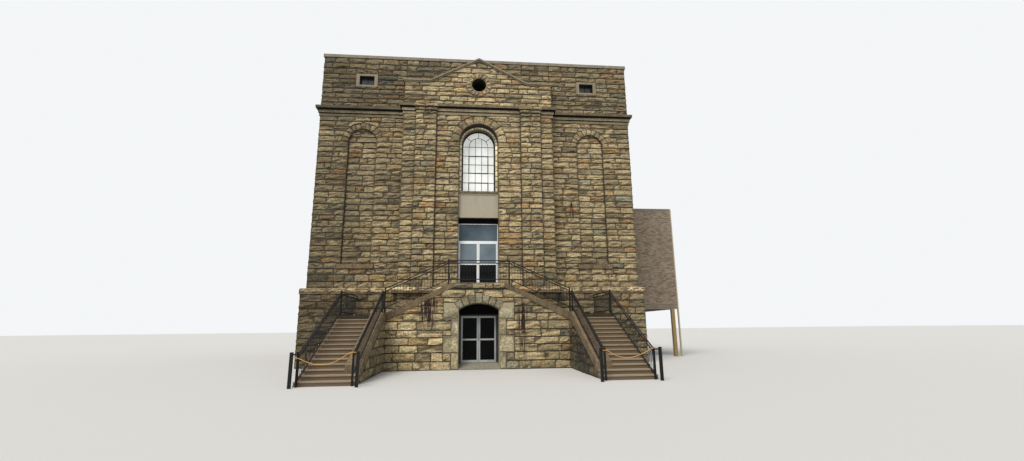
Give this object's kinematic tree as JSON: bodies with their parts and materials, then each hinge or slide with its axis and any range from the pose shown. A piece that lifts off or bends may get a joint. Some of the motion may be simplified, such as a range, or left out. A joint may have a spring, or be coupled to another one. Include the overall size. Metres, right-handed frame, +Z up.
{
  "type": "courthouse",
  "caption": "Stone courthouse with an arched entrance under a raised landing, twin iron-railed stairs, a gabled pavilion, a deep cornice and a brick annex on posts.",
  "frame": {"origin": "on the ground at the centre of the main block's plan", "axes": "+X to the right of someone facing the front, +Y from the front to the back, +Z up"},
  "size_m": [21.24, 28.423, 16.73],
  "materials": {
    "sandstone": "rock-faced blocks with pointed joints",
    "dressed_stone": "sawn and rubbed",
    "light_stone": "dressed and tooled",
    "panel_stone": "rendered flat",
    "concrete": "cast, worn",
    "roofing": "mineral felt",
    "brick": "fired, matt",
    "annex_concrete": "cast",
    "post_paint": "painted",
    "pipe_zinc": "painted",
    "white_paint": "satin paint",
    "dark_metal": "anodised",
    "dark_board": "painted",
    "window_pane": "clear",
    "door_glass": "clear, dark behind",
    "iron": "black paint",
    "rope": "laid fibre"
  },
  "bodies": {
    "building": {"annex_downpipe": "pipe_zinc", "annex_posts": "post_paint", "annex_slabs": "annex_concrete", "annex_walls": "brick", "attic_surrounds": "dressed_stone", "bay_panel": "panel_stone", "bay_reveal": "light_stone", "cheek_copings": "dressed_stone", "cheek_walls": "sandstone", "coping": "dressed_stone", "cornice": "dressed_stone", "entrance_quoins": "light_stone", "entrance_voussoirs": "light_stone", "entrance_wall": "sandstone", "front_wall_left": "sandstone", "front_wall_right": "sandstone", "gable_moulding": "dressed_stone", "ground_door_frame": "dark_metal", "ground_door_head": "dark_board", "ground_floor": "concrete", "landing_railing": "iron", "landing_slab": "dressed_stone", "left_wall": "sandstone", "lower_flights": "concrete", "middle_landings": "sandstone", "oculus_vent": "iron", "pavilion_arch": "sandstone", "pavilion_gable": "sandstone", "pavilion_piers": "sandstone", "pilasters": "dressed_stone", "podium": "sandstone", "rear_wall": "sandstone", "right_wall": "sandstone", "roof_deck": "roofing", "rope_left": "rope", "rope_right": "rope", "stair_railings": "iron", "stone_sills": "dressed_stone", "string_course": "dressed_stone", "upper_door_frame": "white_paint", "upper_door_glass": "door_glass", "upper_door_head": "dark_board", "upper_door_leaves": "white_paint", "upper_flights": "concrete", "upper_floors": "concrete", "window_frames": "white_paint", "window_glass": "window_pane"},
    "ground_door_left": {"ground_door_left": "white_paint", "ground_door_left_glass": "door_glass"},
    "ground_door_right": {"ground_door_right": "white_paint", "ground_door_right_glass": "door_glass"}
  },
  "joints": [
    {"name": "ground_door_right_hinge", "type": "hinge", "parent": "building", "child": "ground_door_right", "pos_m": [0.794, -11.858, 1.25], "axis": [0, 0, 1], "range_deg": [0, 85]},
    {"name": "ground_door_left_hinge", "type": "hinge", "parent": "building", "child": "ground_door_left", "pos_m": [-0.794, -11.858, 1.25], "axis": [0, 0, -1], "range_deg": [0, 85]}
  ]
}
